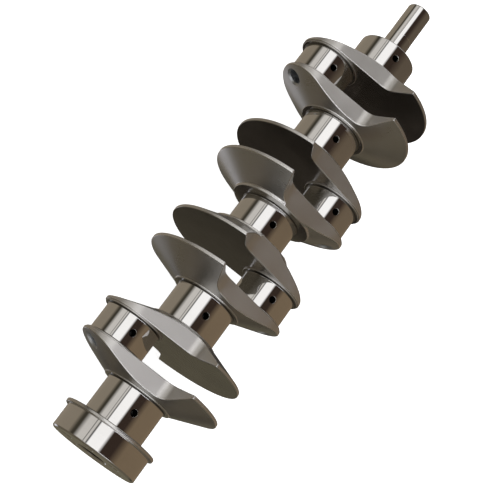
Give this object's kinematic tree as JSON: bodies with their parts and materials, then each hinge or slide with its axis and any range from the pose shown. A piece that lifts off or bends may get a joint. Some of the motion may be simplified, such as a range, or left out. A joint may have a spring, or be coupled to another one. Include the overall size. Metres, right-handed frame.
{
  "type": "crankshaft",
  "caption": "Machined steel crankshaft for a small inline engine, with ground journals and crankpins, coned counterweight webs, a keyed nose and a flywheel flange.",
  "frame": {"origin": "on the axis of rotation, halfway along the shaft, which is the centre of its bounding box", "axes": "+X along the axis of rotation towards the nose; +Y the throw direction of the first and fourth crankpins, the second and third lying at -Y; +Z square to the plane of the throws"},
  "size_m": [0.489, 0.1348, 0.1284],
  "materials": {
    "ground_steel": "ground and polished, mirror bright",
    "milled_steel": "turned and milled, satin",
    "turned_steel": "fine turned",
    "key_steel": "drawn, oiled"
  },
  "bodies": {
    "root": {"nose": "ground_steel", "woodruff_key": "key_steel", "main_journal_1": "ground_steel", "main_journal_2": "ground_steel", "main_journal_3": "ground_steel", "main_journal_4": "ground_steel", "main_journal_5": "ground_steel", "crankpin_1": "ground_steel", "web_1": "milled_steel", "web_2": "milled_steel", "crankpin_2": "ground_steel", "web_3": "milled_steel", "web_4": "milled_steel", "crankpin_3": "ground_steel", "web_5": "milled_steel", "web_6": "milled_steel", "crankpin_4": "ground_steel", "web_7": "milled_steel", "web_8": "milled_steel", "oil_slinger": "turned_steel", "flywheel_flange": "ground_steel"}
  },
  "joints": []
}
